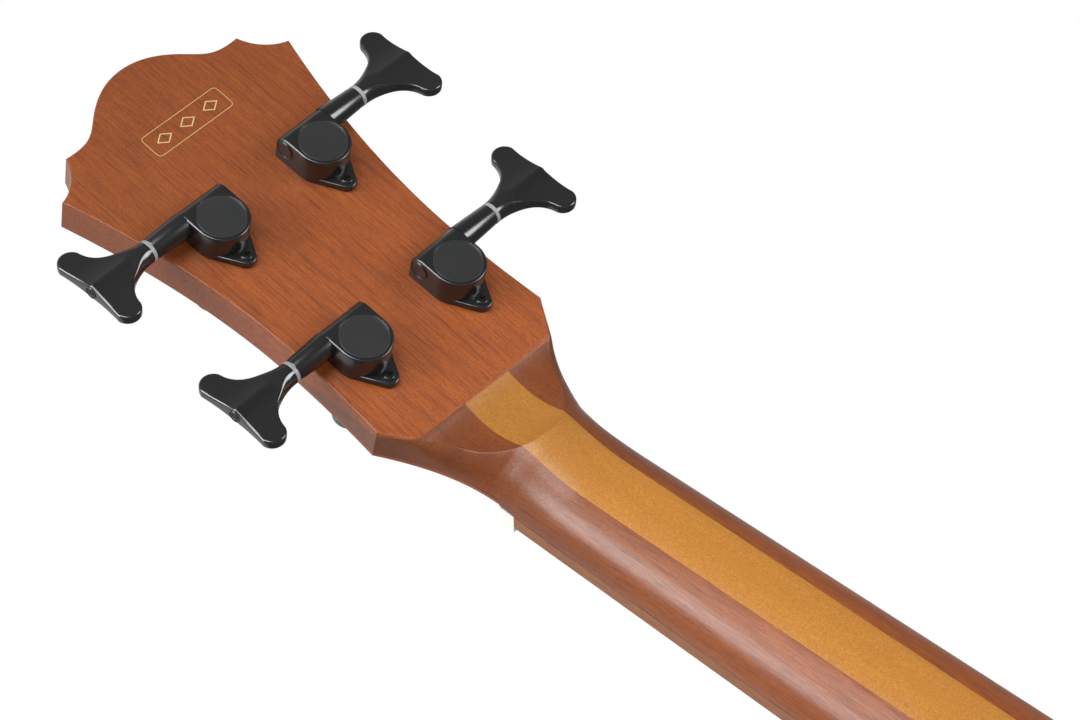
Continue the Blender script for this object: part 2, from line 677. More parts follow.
row_s = np.interp(fine_x, np.maximum.accumulate(crest_at(fine_s)), fine_s)
for x, s in zip(fine_x, row_s):
    where = (s * SIN, s * COS, TILT, float(half_width(s)))
    stations.append((*where, float(curve(THROAT, s)), float(curve(EXPONENTS, s)), x))
print("stations:", len(stations), "of which", len(stations) - first_crest, "start on the crest")

# %% [markdown]
# ## The neck's back
#
# Each section gets the same number of points, spaced evenly by length, so that all of them join into one grid a side.
# The last section is the headstock's own edge, a rounded corner and a straight side, and the walls go on from it.

# %% The neck's back
COLUMNS = 33


def section(station):
    """Points of one half section from the crest or the middle to the front edge, evenly spaced by length."""
    y0, z0, lean, width, depth, exponent, start = station
    along = z0 if z0 < 0 else z0 * COS + y0 * SIN
    front = (0.0 if z0 < NUT_END else VENEER + OVERLAP) - float(bend_lift(along))
    turn = np.linspace(np.pi / 2, 0, 600)
    x = width * np.cos(turn) ** (2 / exponent)
    t = depth * np.sin(turn) ** (2 / exponent)
    keep = x >= start
    line = np.stack([x[keep], t[keep]], -1)
    if start > 0:
        line = np.vstack([[start, float(hollow(z0 * COS + y0 * SIN))], line])
    line = line[line[:, 1] >= max(front, 0)]
    line = np.vstack([line, [line[-1, 0], front]])
    return resampled(line, COLUMNS, first=SOFT), (y0, z0, lean)


def shoulder_section(width, front):
    """The headstock's own edge: a quarter circle from the flat back, then straight down."""
    turn = np.linspace(0, np.pi / 2, 7)
    corner = np.stack([width - EDGE_R + EDGE_R * np.sin(turn), HEAD_T - EDGE_R + EDGE_R * np.cos(turn)], -1)
    down = np.linspace(HEAD_T - EDGE_R, front, COLUMNS - 6)[1:]
    return np.vstack([corner, np.stack([np.full(len(down), width), down], -1)])


def placed(flat, where, side):
    """Section points (x, t) on their plane: y is y0 + t cos a and z is z0 - t sin a."""
    y0, z0, lean = where
    return np.stack([side * flat[:, 0], y0 + flat[:, 1] * math.cos(lean), z0 - flat[:, 1] * math.sin(lean)], -1)


sections = [section(s) for s in stations]
shoulder_half = float(half_width(SHOULDER_S))
sections[-1] = (shoulder_section(shoulder_half, VENEER + OVERLAP), sections[-1][1])
flare_up = faced(grid([placed(f, w, 1) for f, w in sections]), (0.4, 1, 0))
flare_other = faced(grid([placed(f, w, -1) for f, w in sections]), (-0.4, 1, 0))
print("neck's back:", len(sections), "sections of", COLUMNS, "points a side")

# %% [markdown]
# ## Triangle nets
#
# The headstock's flat faces have holes in them, so a grid doesn't fit. A triangle net that keeps to given edges fills
# any outline and leaves the holes open. For that it has to be known which points lie inside a line, and how far
# they are from it.


# %% Triangle nets
def inside(points, loop):
    """Which points lie in a closed line: a ray from them crosses it an odd number of times."""
    x, z = points[:, :1], points[:, 1:]
    a, b = np.asarray(loop), np.roll(loop, -1, 0)
    rise = np.where(b[:, 1] == a[:, 1], 1, b[:, 1] - a[:, 1])
    crossing = a[:, 0] + (z - a[:, 1]) * (b[:, 0] - a[:, 0]) / rise
    return np.sum(((a[:, 1] > z) != (b[:, 1] > z)) & (x < crossing), 1) % 2 == 1


def distance_to(points, loop):
    """The least distance from each point to the segments of a closed line."""
    a = np.asarray(loop)
    along = np.roll(a, -1, 0) - a
    away = points[:, None] - a
    share = np.clip(np.sum(away * along, -1) / (np.sum(along**2, -1) + 1e-12), 0, 1)
    return np.min(np.linalg.norm(away - share[..., None] * along, axis=-1), 1)


def filled(outline, loops=(), holes=(), spacing=None):
    """Triangles over a flat outline, with lines that they keep to and holes: each avoids sharp corners if it can."""
    lines = [outline, *loops, *holes]
    filling = np.zeros((0, 2))
    if spacing:
        low, high = np.min(outline, 0), np.max(outline, 0)
        x, z = np.meshgrid(np.arange(low[0], high[0], spacing), np.arange(low[1], high[1], spacing))
        x[1::2] += spacing / 2
        filling = np.stack([x.ravel(), z.ravel()], -1)
        filling = filling[inside(filling, outline)]
        for line in lines:
            filling = filling[distance_to(filling, line) > 0.45 * spacing]
    edges, start = [], 0
    for line in lines:
        edges += [(start + i, start + (i + 1) % len(line)) for i in range(len(line))]
        start += len(line)
    flat = [Vector(p) for p in np.vstack([*lines, filling])]
    points, _, faces, *_ = delaunay_2d_cdt(flat, edges, [list(range(len(outline)))], 1, 1e-6)
    points = np.array([tuple(p) for p in points])
    middles = points[np.array(faces)].mean(1)
    open_there = np.any([inside(middles, hole) for hole in holes], 0) if holes else np.zeros(len(faces), bool)
    return points, [list(f) for f, gone in zip(faces, open_there) if not gone]


print("inside a circle of 1 mm, at 0 and at 2 mm:", inside(np.array([[0.0, 0], [2, 0]]), circle(1)))

# %% [markdown]
# ## The headstock's faces
#
# The hollow's rows run from crest to crest. The headstock's walls are its outline moved in by as much as the corner
# rounds, once for each point of the edge's section. The two flat faces are triangle nets with the tuners' holes.

# %% The headstock's faces
HOLLOW_COLUMNS = 41
OUT_OF_BACK = (0, COS, -SIN)
back_rows = []
for x, s in zip(fine_x, row_s):
    within = max(x - SOFT, 0.6 * x)
    row_x = np.concatenate([[-x], np.linspace(-within, within, HOLLOW_COLUMNS - 2), [x]])
    back_rows.append(np.stack([row_x, np.full(HOLLOW_COLUMNS, float(hollow(s))), np.full(HOLLOW_COLUMNS, s)], -1))
hollow_face = faced(grid(head(back_rows)), OUT_OF_BACK)
wall_rows = []
for x, t in sections[-1][0]:
    ring = inset(mirrored(beyond), shoulder_half - x)
    ring[0, 1] = ring[-1, 1] = beyond[0, 1]
    wall_rows.append(head(on_level(ring, t)))
walls = faced(grid(wall_rows), away_from=head([[0, 7, 110]])[0])
HOLE_LINES = [circle(HOLE_R, 40, (side * across, along)) for side, across, along in TUNERS.values()]


def drilled(rows, direction):
    """A flat face of the headstock inside one of its walls' rows, with the tuners' holes."""
    local = rows @ np.array([[1, 0, 0], [0, COS, SIN], [0, -SIN, COS]])
    points, faces = filled(local[:, [0, 2]], holes=HOLE_LINES)
    return faced((head(on_level(points, local[0, 1])), faces), direction)


flat_face = drilled(wall_rows[0], OUT_OF_BACK)
front_face = drilled(wall_rows[-1], (0, -COS, SIN))
hole_walls = [tilted(grid([on_level(line, HEAD_T), on_level(line, VENEER)], closed=True)) for line in HOLE_LINES]
print("headstock:", len(flat_face[1]), "faces on the back,", len(hole_walls), "holes")

# %% [markdown]
# ## Sawing the blank
#
# A real neck of this kind is glued up: two mahogany wings with a maple strip between, and a separate headstock on a
# slanting scarf joint. The whole surface is made first and then sawn with planes into these pieces. So the surface
# runs on over the joints without a step, while each piece of wood has its own grain.


# %% Sawing the blank
def sawn(name, shapes, cuts, material, replaces):
    """The shapes cut by planes: each plane is a point and a normal, and what lies beyond the normal goes."""
    mesh, work = mesh_of(name, merged(*shapes))
    for point, normal in cuts:
        bmesh.ops.bisect_plane(
            work,
            geom=[*work.verts, *work.edges, *work.faces],
            plane_co=Vector(point) * MM,
            plane_no=Vector(normal),
            clear_outer=True,
        )
    return finished(mesh, work, material, ROOT, replaces, angle=75)


def joined_middle(shapes):
    """Both halves of the neck's back in one, so that the middle line shades smoothly."""
    points, faces = merged(*shapes)
    half = len(points) // 2
    same = {half + k * COLUMNS: k * COLUMNS for k in range(first_crest)}
    return points, [[same.get(i, i) for i in face] for face in faces]


neck_back = joined_middle([flare_up, flare_other])
print("neck's back in one:", len(neck_back[1]), "faces")

# %% [markdown]
# ## Strip, wings and headstock
#
# Each piece gets its own planes. The scarf joint is the same plane for the neck and the headstock, only seen from its
# two sides, and it runs slightly skew. The heel is cut off flat where the strap button sits, and gets a flat end.

# %% Strip, wings and headstock
STRIP_HALF = 9.8
SCARF_Y, SCARF_SKEW = 20.95, 0.02
HEEL_FACE = 70.0
cap_y = ((0, HEEL_FACE, 0), (0, 1, 0))
below_scarf = ((0, SCARF_Y, 0), (-SCARF_SKEW, 1, 0))
above_scarf = ((0, SCARF_Y, 0), (SCARF_SKEW, -1, 0))


def heel_cap():
    """The heel's flat end: the sections' outline where they pass its depth."""
    edge = []
    for flat, (_, z0, _) in sections[:HEEL_SECTIONS]:
        if flat[0, 1] > HEEL_FACE:
            edge.append((float(np.interp(-HEEL_FACE, -flat[:, 1], flat[:, 0])), z0))
    line = np.array(edge)
    ring = np.vstack([line, (line * [-1, 1])[::-1]])
    return faced((on_level(ring, HEEL_FACE), [list(range(len(ring)))]), (0, 1, 0))


def stretch(shape, first, last):
    """The neck's faces between two stations."""
    points, faces = shape
    across = COLUMNS - 1
    return points, [f for k, f in enumerate(faces) if first <= (k % (len(faces) // 2)) // across < last]


HEEL_STATIONS = HEEL_SECTIONS + 2
on_neck = stretch(neck_back, 0, HEEL_STATIONS)
on_head = welded(merged(stretch(neck_back, HEEL_STATIONS, len(stations)), hollow_face))
middle_cuts = [((STRIP_HALF, 0, 0), (1, 0, 0)), ((-STRIP_HALF, 0, 0), (-1, 0, 0))]
for name, node, cuts, wood_of, slot in (
    ("neck_strip", "neck_centre_strip", middle_cuts, maple, "maple"),
    ("neck_wing_plus", "neck_wing_treble", [((STRIP_HALF, 0, 0), (-1, 0, 0))], mahogany_neck, "mahogany"),
    ("neck_wing_minus", "neck_wing_bass", [((-STRIP_HALF, 0, 0), (1, 0, 0))], mahogany_neck, "mahogany"),
):
    sawn(name + "_heel", [on_neck, heel_cap()], [*cuts, cap_y], wood_of, (node,))
    sawn(name, [on_head, walls, flat_face], [*cuts, below_scarf], wood_of, (node,))
sawn(
    "headstock_wood",
    [on_head, walls, flat_face, front_face, *hole_walls],
    [above_scarf],
    mahogany_head,
    ("headstock",),
)
print("sawn into the strip, two wings and the headstock, faces:", len(on_neck[1]) + len(on_head[1]))

# %% [markdown]
# ## Height fields
#
# Cast housings, buttons, the bridge and the soundboard have one face that swells and falls over a flat outline. Such
# a face is a height at each point of a triangle net, found from the point's place and its distance from the edge.
# Rings of points close to the edge let it round off there. Sculpting could do it too, but not to a tenth of a mm.


# %% Height fields
def walls_between(points, line):
    """Quads down the wall under a closed line of a net whose lower copy follows it in the list of points."""
    place = {tuple(np.round(p, 3)): i for i, p in enumerate(points)}
    index = [place[tuple(np.round(p, 3))] for p in line if tuple(np.round(p, 3)) in place]
    count = len(points)
    return [[i, j, j + count, i + count] for i, j in zip(index, index[1:] + index[:1])]


def field(outline, depths, spacing, top, bottom, holes=(), loops=(), floor=True):
    """A solid over a flat outline in x and z: its two faces lie at heights y found from place and edge distance."""
    rings = [inset(outline, depth) for depth in depths]
    points, faces = filled(outline, [*rings, *loops], holes, spacing)
    depth = distance_to(points, outline)
    upper, lower = on_level(points, top(points, depth)), on_level(points, bottom(points, depth))
    sides = [quad for line in (outline, *holes) for quad in walls_between(points, line)]
    under = [[i + len(points) for i in face[::-1]] for face in faces] if floor else []
    return np.vstack([upper, lower]), faces + under + sides


def rounded(depth, radius):
    """How far a face has dropped at a distance from its edge that is rounded by a quarter circle."""
    return radius * (1 - np.sqrt(1 - (1 - np.minimum(depth / radius, 1)) ** 2))


print("drop of an edge rounded by 1 mm, at 0, 0.5 and 1 mm:", rounded(np.array([0, 0.5, 1]), 1.0).round(2))

# %% [markdown]
# ## Tuner housing
#
# A tuner's cast housing is round toward the nut, where the wheel turns under its cap, and square toward the tip, where
# it is rounded like a barrel over the worm. A sleeve carries the worm's shaft out to the button. Each tuner is worked
# out in its own place: x along the worm to the button, y out of the headstock's back, z to the tip. The housing is a
# height field over its outline, with a sunk seat for the cap.

# %% Tuner housing
HOUSING_R, BLOCK, HOUSING_TOP, HOUSING_EDGE = 9.5, 12.0, 11.4, 0.55
BARREL_HIGH, BARREL_WIDE = 4.5, 4.27
CAP_R, CAP_SEAT, SEAT_LIP = 8.35, 10.4, 0.16
WORM_Y, WORM_Z = 6.9, 7.75
SLEEVE_END = 24.0
EAR_AT, EAR_R = 12.2, 3.4


def on_worm(shape):
    """A shape drawn about the x axis, moved to the worm's axis."""
    return moved(shape, (0, WORM_Y, WORM_Z))


def housing_body():
    """Round at the nut's end and square at the tip's, rounded over the worm, with a seat for the cap."""
    turn = np.linspace(np.pi, 2 * np.pi, 80)
    arc = HOUSING_R * np.stack([np.cos(turn), np.sin(turn)], -1)
    wide = HOUSING_R
    block = eased([[wide, 0.4], [wide, BLOCK], [-wide, BLOCK], [-wide, 0.4]], 1.0, 5)
    outline = resampled(np.vstack([arc, block]), 260, closed=True)

    def top(points, depth):
        """Heights: the lower of the flat top and the barrel, less the rounded edge, and the seat inside its lip."""
        x, z = points.T
        barrel = WORM_Y + BARREL_HIGH * np.sqrt(np.maximum(1 - (np.maximum(z - WORM_Z, 0) / BARREL_WIDE) ** 2, 0))
        height = np.minimum(HOUSING_TOP, barrel) - rounded(depth, HOUSING_EDGE)
        past_cap = np.hypot(x, z) - CAP_R
        lip = HOUSING_TOP - rounded(np.maximum(past_cap - 0.07, 0), SEAT_LIP)
        return np.where(past_cap < 0.065, CAP_SEAT, np.where(past_cap < seat_gaps[-1], lip, height))

    seat_gaps = (0.05, 0.08, 0.14, 0.24)
    seats = [circle(CAP_R + gap, 96) for gap in seat_gaps]
    return field(outline, (0.05, 0.16, 0.33, HOUSING_EDGE), 1.1, top, lambda p, d: 0.3, loops=seats, floor=False)


def housing_ear():
    """A plate like a drop: a small circle round the screw, and tangents from it to the housing's circle."""
    spread = math.acos((HOUSING_R - EAR_R) / EAR_AT)
    turn = np.linspace(-np.pi / 2 - spread, -np.pi / 2 + spread, 40)
    tip = np.stack([EAR_R * np.cos(turn), EAR_R * np.sin(turn) - EAR_AT], -1)
    root = [HOUSING_R * math.sin(spread), -HOUSING_R * math.cos(spread)]
    outline = np.vstack([tip, [root], [[3, -3], [-3, -3]], [[-root[0], root[1]]]])
    return slab(outline, [(0.3, 0), (2.1, 0), (2.35, 0.07), (2.53, 0.22), (2.6, 0.45)], caps=(False, True))


ear = housing_ear()
print("housing's ear:", len(ear[1]), "faces")

# %% [markdown]
# ## Sleeve, cap and plug
#
# The sleeve, the cap over the wheel and the plug at the closed end are turned on a lathe, so each is a profile of
# (along, radius) carried round an axis. Small steps in the profile make the bead on the cap's rim and the ring round
# the plug.


# %% Sleeve, cap and plug
def sleeve():
    """A slender cone, turned down once more before its end."""
    profile = [(9.2, 4.6), (22.9, 3.93), (23.1, 3.85), (23.6, 3.82), (23.85, 3.75), (SLEEVE_END, 3.6)]
    return on_worm(lathe([*profile, (SLEEVE_END, 2.1)]))


def gear_cap():
    """A disc with a raised bead round its edge."""
    top = HOUSING_TOP
    bead = [(0.0, 0.0), (0.08, 0.06), (0.14, 0.16), (0.14, 0.28), (0.08, 0.38), (0.0, 0.45), (0.0, 0.7)]
    profile = [(10.45, 0.02), (10.45, CAP_R), *[(top + up, CAP_R - inwards) for up, inwards in bead], (top, 0.02)]
    return lathe(profile, "y", 96)


def plug():
    """The plug at the housing's closed end, and the ring round it."""
    disc = [(-9.0, 3.1), (-9.6, 3.1), (-9.72, 2.98), (-9.76, 2.7), (-9.7, 2.2), (-9.7, 0.02)]
    ring = [(-9.3, 3.2), (-9.62, 3.25), (-9.75, 3.4), (-9.78, 3.5), (-9.75, 3.6), (-9.62, 3.75), (-9.3, 3.8)]
    return on_worm(merged(lathe(disc), lathe(ring)))


housing = merged(housing_body(), sleeve())
print("housing and sleeve:", len(housing[1]), "faces")

# %% [markdown]
# ## Screws
#
# A screw's head is small, but its crossed slot shows, so it is cut into the height field by lines that follow the
# cross twice, a little apart, to give it steep walls.


# %% Screws
def turned_about_x(shape, angle):
    """A shape turned about the x axis: y and z go to y cos a - z sin a and y sin a + z cos a."""
    x, y, z = shape[0].T
    return np.stack([x, y * np.cos(angle) - z * np.sin(angle), y * np.sin(angle) + z * np.cos(angle)], -1), shape[1]


def facing_along_x(shape):
    """A shape that faces +y, turned to face +x."""
    points, faces = shape
    return points[:, [1, 0, 2]] * [1, -1, 1], faces


def cross_screw(radius, crown, depth=0.8):
    """A screw's head facing +y, its top a flat dome with a cross sunk in it."""

    def cross(half, reach):
        """A cross's outline: three corners of one arm, turned by quarters."""
        quarter = np.array([[reach, -half], [reach, half], [half, half]])
        corners = []
        for _ in range(4):
            corners.append(quarter)
            quarter = np.stack([-quarter[:, 1], quarter[:, 0]], -1)
        return np.vstack(corners)

    wide, narrow = cross(0.16 * radius, 0.62 * radius), cross(0.1 * radius, 0.5 * radius)

    def top(points, away):
        """Heights: a dome that drops with the square of the radius, and the floor of the cross."""
        dome = crown * (1 - 0.45 * (np.hypot(*points.T) / radius) ** 2) - rounded(away, 0.3 * radius)
        sunk = inside(points, narrow) | (distance_to(points, narrow) < 1e-4)
        return np.where(sunk, crown - depth, dome)

    rim = circle(radius, 40)
    rings = (0.03 * radius, 0.1 * radius, 0.2 * radius, 0.3 * radius)
    return field(rim, rings, radius / 4, top, lambda p, d: -0.6, loops=[wide, narrow])


ear_screw = moved(cross_screw(2.15, 0.75), (0, 2.7, -EAR_AT))
print("screw:", len(ear_screw[1]), "faces")

# %% [markdown]
# ## Buttons
#
# The button is a fishtail: a round hub that spreads into two lobes, with a ridge along the middle that fades toward
# the lobes. Its two faces are heights over one outline. Near the hub the edge rounds over the whole radius, so that
# the hub is round, and near the lobes over less than a millimetre. The button stands a few degrees round the worm.

# %% Buttons
COLLAR = (SLEEVE_END + 0.04, 25.36)
BUTTON_AT, BUTTON_LENGTH, BUTTON_HALF = 25.4, 25.0, 17.5
BUTTON_TURN = math.radians(7)
HUB_R, HUB_LENGTH, LOBE_R, LOBE_T, NOTCH = 3.85, 9, 4.6, 1.75, 0.9
RIDGE_HALF, RIDGE_SOFT, BLADE_EDGE = 12.0, 2.2, 0.8


def button():
    """A fishtail whose round hub runs on as a ridge to the end and falls away to thin lobes on both sides."""
    lobe = np.array([BUTTON_LENGTH - LOBE_R, BUTTON_HALF - LOBE_R])
    turn = np.radians(np.linspace(160, 8, 30))
    tip = lobe + LOBE_R * np.stack([np.cos(turn), np.sin(turn)], -1)
    side = cubic((0, HUB_R), [(tuple(tip[0]), (0.57, 0.03, 0.93, 0.36))], 40)
    v = np.linspace(tip[-1, 1], 0, 20)[1:]
    end = np.stack([tip[-1, 0] - NOTCH * (1 - (v / tip[-1, 1]) ** 2), v], -1)
    half = np.vstack([side, tip[1:], end])
    outline = resampled(np.vstack([half, (half * [1, -1])[::-1][1:]]), 300, closed=True)
    sides = outline.copy()
    sides[sides[:, 0] < 0.01, 0] = -2 * HUB_R

    def faces_at(height_of_ridge):
        """The height of one face, given its ridge's."""

        def height(points, _):
            """The hub's share falls from 1 to 0 along x, the ridge's with the distance from the middle line."""
            x, v = points.T
            near = 1 - np.clip((x - 0.5) / HUB_LENGTH, 0, 1)
            hub = near**2 * (3 - 2 * near)
            fall = np.sqrt(v**2 + (RIDGE_SOFT * hub) ** 2) - RIDGE_SOFT * hub
            ridge = (height_of_ridge - LOBE_T) * np.maximum(1 - fall / RIDGE_HALF, 0) ** 1.6
            blade = LOBE_T + ridge * (1 - hub) + (HUB_R - LOBE_T) * hub
            reach = BLADE_EDGE + (HUB_R - BLADE_EDGE) * hub
            rim = (1 - hub) * (blade - reach)
            away = distance_to(points, sides)
            return rim + (blade - rim) * np.sqrt(1 - (1 - np.minimum(away / reach, 1)) ** 2)

        return height

    rings = (0.05, 0.14, 0.28, 0.44, 0.62, 0.82, 1.3, 1.9)
    line = np.array([[2.0, 0.02], [23.2, 0.02], [23.2, -0.02], [2.0, -0.02]])
    top, under = faces_at(HUB_R), faces_at(LOBE_T + 0.4)
    shape = field(outline, rings, 0.75, top, lambda p, d: -under(p, d), loops=[line])
    return moved(turned_about_x(shape, BUTTON_TURN), (BUTTON_AT, WORM_Y, WORM_Z))


END_SCREW_AT = (BUTTON_AT + BUTTON_LENGTH - NOTCH, WORM_Y + 0.8, WORM_Z)
boss_profile = [(-3, 2.3), (0.12, 2.3), (0.2, 2.22), (0.2, 2.0), (-0.4, 1.95)]
boss = moved(with_ends(lathe(boss_profile), 48), END_SCREW_AT)
end_screw = moved(facing_along_x(cross_screw(1.9, 0.25, 0.6)), END_SCREW_AT)
rim_profile = [(COLLAR[0] + 0.1, 3.9), (COLLAR[1] - 0.06, 3.9)]
collar = on_worm(lathe([(COLLAR[0], 2), (COLLAR[0], 3.84), *rim_profile, (COLLAR[1], 3.84), (COLLAR[1], 2)]))
fishtail = merged(button(), boss)
print("button:", len(fishtail[1]), "faces,", 2 * BUTTON_HALF, "mm across")

# %% [markdown]
# ## Cuts and tubes
#
# Slots and bores are cut with Blender's exact boolean, and the result is read back as a shape. A string is a tube:
# circles along a path, each turned as little as can be from the one before, so that the tube doesn't twist.


# %% Cuts and tubes
def carved(shape, *cutters):
    """A closed shape less some others, by an exact boolean."""
    objects = []
    for part in (shape, *cutters):
        mesh, work = mesh_of("cut", part, 1.0, 1e-4)
        bmesh.ops.recalc_face_normals(work, faces=work.faces)
        work.to_mesh(mesh)
        work.free()
        objects.append(bpy.data.objects.new("cut", mesh))
        bpy.context.scene.collection.objects.link(objects[-1])
    for cutter in objects[1:]:
        cut = objects[0].modifiers.new("cut", "BOOLEAN")
        cut.object, cut.solver = cutter, "EXACT"
    mesh = objects[0].evaluated_get(bpy.context.evaluated_depsgraph_get()).to_mesh()
    points = np.array([tuple(v.co) for v in mesh.vertices])
    faces = [list(p.vertices) for p in mesh.polygons]
    for thing in objects:
        mesh = thing.data
        bpy.data.objects.remove(thing)
        bpy.data.meshes.remove(mesh)
    return points, faces


def tube(path, radius, sides=10):
    """A round tube along a path: each ring is square to it, and turned as little as can be from the one before."""
    path = np.asarray(path, float)
    radius = np.broadcast_to(radius, len(path))
    ahead = np.gradient(path, axis=0)
    ahead /= np.linalg.norm(ahead, axis=1, keepdims=True)
    side = np.cross(ahead[0], [0, 1, 0.3])
    rings = []
    turn = np.linspace(0, 2 * np.pi, sides, endpoint=False)
    for p, r, a in zip(path, radius, ahead):
        side = side - a * (side @ a)
        side /= np.linalg.norm(side)
        rings.append(p + r * (np.cos(turn)[:, None] * side + np.sin(turn)[:, None] * np.cross(a, side)))
    return with_ends(grid(rings, closed=True), sides)


def box_shape(x, y, z):
    """A box between two values of each coordinate."""
    points = np.array([[a, b, c] for a in x for b in y for c in z], float)
    return points, [[0, 1, 3, 2], [4, 6, 7, 5], [0, 4, 5, 1], [2, 3, 7, 6], [0, 2, 6, 4], [1, 5, 7, 3]]


print("a box has", len(box_shape((0, 1), (0, 1), (0, 1))[1]), "faces")

# %% [markdown]
# ## Posts and bushings
#
# On the front, the post stands in a six-sided bushing. The string lies round its waist and its end goes into the
# slot across the top, which is cut with a boolean.


# %% Posts and bushings
POST_LENGTH, SLOT_DEPTH, HEXAGON_R = 21.5, 7.5, 8.1


def post():
    """A turned post with a waist for the string and a slot across its top."""
    front, end = -HEAD_T, -HEAD_T - POST_LENGTH
    profile = [(0.5, 0.02), (0.5, 4.6), (front - 3, 4.6), (front - 3, 6), (front - 8.2, 6), (front - 9, 5.0)]
    profile += [(front - 17.8, 5.0), (front - 18.6, 6), (front - 20.9, 6), (front - 21.35, 5.7), (end, 5.2)]
    slot = box_shape((-1.6, 1.6), (front - 25, end + SLOT_DEPTH), (-9, 9))
    return carved(lathe([*profile, (end, 0.02)], "y", 48), slot)


def bushing():
    """A six-sided nut with softened corners on a round neck, bored for the post."""
    seat = -HEAD_T - 0.3
    levels = [(seat, 0), (seat - 2.0, 0), (seat - 2.25, 0.12), (seat - 2.4, 0.4)]
    hexagon = slab(eased(circle(HEXAGON_R, 6), 0.4, 3, closed=True), levels)
    neck = with_ends(lathe([(seat + 0.1, 6.2), (-5.2, 6.2)], "y", 40), 40)
    bore = with_ends(lathe([(-20, 5.1), (-5, 5.1)], "y", 40), 40)
    return carved(merged(hexagon, neck), bore)


slotted_post, bored_bushing = post(), bushing()
print("post:", len(slotted_post[1]), "faces, bushing:", len(bored_bushing[1]))

# %% [markdown]
# ## The four tuners
#
# All four are the same casting, mirrored for the bass side. A button, its screw and collar ride on the knob's body
# and turn with it; the post rides on its own body, which the worm drives.

# %% The four tuners
tuner_pieces = [
    ("housing", housing, black_metal, ROOT, ("housing",), "black_metal"),
    ("ear", ear, black_metal, ROOT, (), "black_metal"),
    ("ear_screw", ear_screw, black_screw, ROOT, (), "black_metal"),
    ("gear_cap", gear_cap(), black_cap, ROOT, ("gear_cap",), "black_metal"),
    ("bushing", bored_bushing, black_metal, ROOT, ("bushing",), "black_metal"),
    ("plug", plug(), black_metal, ROOT, (), "black_metal"),
    ("collar", collar, washer_grey, "knob", ("collar",), "washer_grey"),
    ("button", fishtail, black_gloss, "knob", ("button",), "black_metal"),
    ("end_screw", end_screw, black_screw, "knob", (), "black_metal"),
    ("post", slotted_post, black_metal, "string_post", ("post",), "black_metal"),
]
for key, (side, across, along) in TUNERS.items():
    for name, (points, faces), finish, body, nodes, slot in tuner_pieces:
        x, y, z = points.T
        placed_points = head(np.stack([side * (across + x), HEAD_T + y, along + z], -1))
        make(
            f"{key}_tuner_{name}_looks",
            (placed_points, faces),
            finish,
            body=body if body == ROOT else f"{key}_tuner_{body}",
            replaces=[f"{key}_tuner_{node}" for node in nodes],
            weld=0.001,
        )
print("tuners:", len(TUNERS), "of", len(tuner_pieces), "pieces")

# %% [markdown]
# ## Headstock front
#
# The front carries a thin rosewood veneer with rounded edges, and below it a line of the headstock's mahogany shows.
# A small plastic cover lies over the truss rod's pocket, held by three screws. The veneer is a height field, because
# it has to keep the tuners' holes, while the cover is a plain plate.

# %% Veneer and truss rod cover
veneer_start = NUT_END / COS
on_veneer = head_half[head_half[:, 1] > veneer_start + 0.3]
veneer_outline = mirrored(np.vstack([[float(half_width(veneer_start)), veneer_start], on_veneer]))
pocket = np.array([[-5, veneer_start + 27], [5, veneer_start + 27], [5, veneer_start + 1], [-5, veneer_start + 1]])
veneer = field(
    inset(veneer_outline, 0.06),
    (0.05, 0.2, 0.5),
    None,
    lambda p, d: np.full(len(p), VENEER),
    lambda p, d: rounded(d, 0.5),
    holes=[*HOLE_LINES, pocket],
)
make("headstock_veneer_looks", tilted(veneer), rosewood, replaces=["headstock_veneer"])
edge_levels = [(VENEER + OVERLAP, 0), (0.6, 0), (0.3, 0.04), (0.12, 0.15), (0.0, 0.4)]
edge_rings = [on_level(inset(veneer_outline, distance), t) for t, distance in edge_levels]
edge_band = faced(tilted(grid(edge_rings, closed=True)), away_from=head([[0, 1, 110]])[0])
make("headstock_edge", edge_band, mahogany_head, closed=False)

COVER_HALF, COVER_LENGTH = 11, 38
cover_start = veneer_start + 1
cover_tip = cubic((COVER_HALF, cover_start + 0.3), [((0, cover_start + COVER_LENGTH), (0.1, 0.62, 0.9, 0.55))], 30)
cover_line = mirrored(np.vstack([[COVER_HALF, cover_start], cover_tip]))
cover = slab(cover_line, [(-0.3, 0), (-2.0, 0), (-2.22, 0.12), (-2.3, 0.4)])
make("truss_rod_cover_looks", tilted(cover), black_plastic, replaces=["truss_rod_cover"])
for number, (x, along) in enumerate([(-7.5, 3.5), (7.5, 3.5), (0, 31)]):
    points, faces = cross_screw(1.5, 0.45, 0.5)
    screw = head(np.stack([x + points[:, 0], -2.25 - points[:, 1], cover_start + along + points[:, 2]], -1)), faces
    make(f"cover_screw_{number}", screw, steel)
print("headstock front:", len(veneer[1]), "faces in the veneer")

# %% [markdown]
# ## Printed outline
#
# Near the tip, a thin gold line is printed on the back, here with three small lozenges inside. It could be painted in
# the wood's material with a mask. As a real band, a few hundredths of a millimetre proud of the wood, it stays sharp
# from close by, and the wood's material stays simple.

# %% Printed outline
PRINT_AT, PRINT_HALF, PROUD = np.array([-1.5, 173.0]), np.array([17.1, 4.9]), 0.03


def strip_line(outline, width):
    """A flat band on the headstock's back, a little proud of it, between an outline and a smaller one."""
    rows = [on_level(line, HEAD_T + PROUD) for line in (outline, inset(outline, width))]
    return faced(tilted(grid(rows, closed=True)), OUT_OF_BACK)


